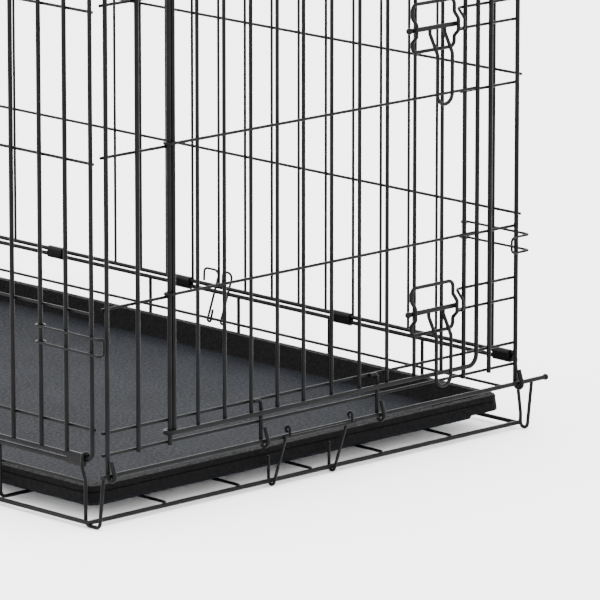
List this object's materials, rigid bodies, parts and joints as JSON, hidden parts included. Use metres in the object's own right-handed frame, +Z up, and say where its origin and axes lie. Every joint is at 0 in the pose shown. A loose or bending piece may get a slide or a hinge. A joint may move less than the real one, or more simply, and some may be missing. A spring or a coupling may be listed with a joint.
{
  "type": "wire dog crate",
  "caption": "Folding wire crate for a dog with two hinged doors, slide-bolt latches, a lift-over top and a slide-out plastic floor pan.",
  "frame": {"origin": "on the ground at the middle of the whole crate's outline", "axes": "+X across the crate, -Y towards the end with the front door, -X towards the side with the second door, +Z up"},
  "size_m": [0.6396, 0.9252, 0.6473],
  "materials": {
    "coated_wire": "satin black electro-coat on drawn steel wire",
    "coated_hardware": "satin black electro-coat on bent wire fittings",
    "crimped_steel": "black coated sheet steel, crimped",
    "pan_plastic": "dark grey moulded plastic with a fine leather grain"
  },
  "bodies": {
    "base": {"floor_perimeter_wires": "coated_wire", "floor_long_wires": "coated_wire", "floor_cross_wires": "coated_wire", "left_risers": "coated_wire", "right_risers": "coated_wire", "pan_guide_wires": "coated_wire", "front_rail": "coated_wire", "rear_rail": "coated_wire", "rail_end_crimps": "crimped_steel", "left_rail": "coated_wire", "right_rail": "coated_wire", "corner_feet": "coated_wire", "left_hinge_sleeves": "crimped_steel", "right_hinge_sleeves": "crimped_steel"},
    "pan": {"pan": "pan_plastic"},
    "pan_stop": {"pan_stop_arms": "coated_hardware", "pan_stop_bar": "coated_hardware", "pan_stop_curls": "coated_hardware"},
    "front_panel": {"front_panel_uprights": "coated_wire", "front_panel_cross_wires": "coated_wire", "front_hinge_hooks": "coated_wire", "front_keepers": "coated_hardware"},
    "front_door": {"front_door_frame": "coated_wire", "front_door_bars": "coated_wire", "front_door_cross_wires": "coated_wire", "front_door_hinge_curls": "coated_wire", "front_latch_brackets": "coated_hardware"},
    "front_lower_bolt": {"front_lower_bolt": "coated_hardware", "front_lower_finger_loop": "coated_hardware"},
    "front_upper_bolt": {"front_upper_bolt": "coated_hardware", "front_upper_finger_loop": "coated_hardware"},
    "rear_panel": {"rear_panel_uprights": "coated_wire", "rear_panel_cross_wires": "coated_wire", "rear_hinge_hooks": "coated_wire"},
    "left_side": {"left_side_frame": "coated_wire", "left_side_uprights": "coated_wire", "left_side_cross_wires": "coated_wire", "side_keepers": "coated_hardware"},
    "side_door": {"side_door_frame": "coated_wire", "side_door_bars": "coated_wire", "side_door_cross_wires": "coated_wire", "side_door_hinge_curls": "coated_wire", "side_latch_brackets": "coated_hardware"},
    "side_lower_bolt": {"side_lower_bolt": "coated_hardware", "side_lower_finger_loop": "coated_hardware"},
    "side_upper_bolt": {"side_upper_bolt": "coated_hardware", "side_upper_finger_loop": "coated_hardware"},
    "right_side": {"right_side_frame": "coated_wire", "right_side_uprights": "coated_wire", "right_side_cross_wires": "coated_wire", "side_retaining_clip": "coated_hardware"},
    "top_panel": {"top_frame": "coated_wire", "top_cross_bars": "coated_wire", "top_long_wires": "coated_wire", "top_hinge_curls": "coated_wire"},
    "front_right_clasp": {"front_right_clasp": "coated_hardware"},
    "rear_right_clasp": {"rear_right_clasp": "coated_hardware"},
    "front_left_clasp": {"front_left_clasp": "coated_hardware"},
    "rear_left_clasp": {"rear_left_clasp": "coated_hardware"}
  },
  "joints": [
    {"name": "front_panel_fold", "type": "hinge", "parent": "base", "child": "front_panel", "pos_m": [0, -0.44898, 0.0521], "axis": [-1, 0, 0], "range_deg": [0, 90]},
    {"name": "rear_panel_fold", "type": "hinge", "parent": "base", "child": "rear_panel", "pos_m": [0, 0.45532, 0.0521], "axis": [-1, 0, 0], "range_deg": [-90, 0]},
    {"name": "right_side_fold", "type": "hinge", "parent": "base", "child": "right_side", "pos_m": [0.2882, 0.00317, 0.0776], "axis": [0, -1, 0], "range_deg": [0, 90]},
    {"name": "left_side_fold", "type": "hinge", "parent": "base", "child": "left_side", "pos_m": [-0.2882, 0.00317, 0.0675], "axis": [0, -1, 0], "range_deg": [-90, 0]},
    {"name": "top_panel_fold", "type": "hinge", "parent": "right_side", "child": "top_panel", "pos_m": [0.2882, 0.00317, 0.642], "axis": [0, 1, 0], "range_deg": [0, 265.5]},
    {"name": "front_right_clasp_swing", "type": "hinge", "parent": "right_side", "child": "front_right_clasp", "pos_m": [0.28895, -0.36042, 0.195], "axis": [0, 0, 1], "range_deg": [0, 171]},
    {"name": "rear_right_clasp_swing", "type": "hinge", "parent": "right_side", "child": "rear_right_clasp", "pos_m": [0.28895, 0.36857, 0.195], "axis": [0, 0, -1], "range_deg": [0, 171]},
    {"name": "front_left_clasp_swing", "type": "hinge", "parent": "left_side", "child": "front_left_clasp", "pos_m": [-0.2883, -0.36152, 0.179], "axis": [0, 0, -1], "range_deg": [0, 166.5]},
    {"name": "rear_left_clasp_swing", "type": "hinge", "parent": "left_side", "child": "rear_left_clasp", "pos_m": [-0.2883, 0.36817, 0.179], "axis": [0, 0, 1], "range_deg": [0, 166.5]},
    {"name": "front_door_swing", "type": "hinge", "parent": "front_panel", "child": "front_door", "pos_m": [-0.1966, -0.44403, 0.3], "axis": [0, 0, 1], "range_deg": [-110, 0]},
    {"name": "side_door_swing", "type": "hinge", "parent": "left_side", "child": "side_door", "pos_m": [-0.2883, 0.20467, 0.3], "axis": [0, 0, -1], "range_deg": [0, 110]},
    {"name": "front_lower_bolt_slide", "type": "slide", "parent": "front_door", "child": "front_lower_bolt", "axis": [1, 0, 0], "range_m": [-0.018, 0]},
    {"name": "front_upper_bolt_slide", "type": "slide", "parent": "front_door", "child": "front_upper_bolt", "axis": [1, 0, 0], "range_m": [-0.018, 0]},
    {"name": "side_lower_bolt_slide", "type": "slide", "parent": "side_door", "child": "side_lower_bolt", "axis": [0, -1, 0], "range_m": [-0.018, 0]},
    {"name": "side_upper_bolt_slide", "type": "slide", "parent": "side_door", "child": "side_upper_bolt", "axis": [0, -1, 0], "range_m": [-0.018, 0]},
    {"name": "pan_slide", "type": "slide", "parent": "base", "child": "pan", "axis": [0, 1, 0], "range_m": [0, 0.4]},
    {"name": "pan_stop_swing", "type": "hinge", "parent": "base", "child": "pan_stop", "pos_m": [0, -0.43283, 0.0057], "axis": [1, 0, 0], "range_deg": [0, 65]}
  ],
  "couplings": [
    {"joint": "top_panel_fold", "follows": "right_side_fold", "ratio": 2.95},
    {"joint": "front_right_clasp_swing", "follows": "right_side_fold", "ratio": 1.9},
    {"joint": "rear_right_clasp_swing", "follows": "right_side_fold", "ratio": 1.9},
    {"joint": "front_left_clasp_swing", "follows": "left_side_fold", "ratio": -1.85},
    {"joint": "rear_left_clasp_swing", "follows": "left_side_fold", "ratio": -1.85}
  ]
}
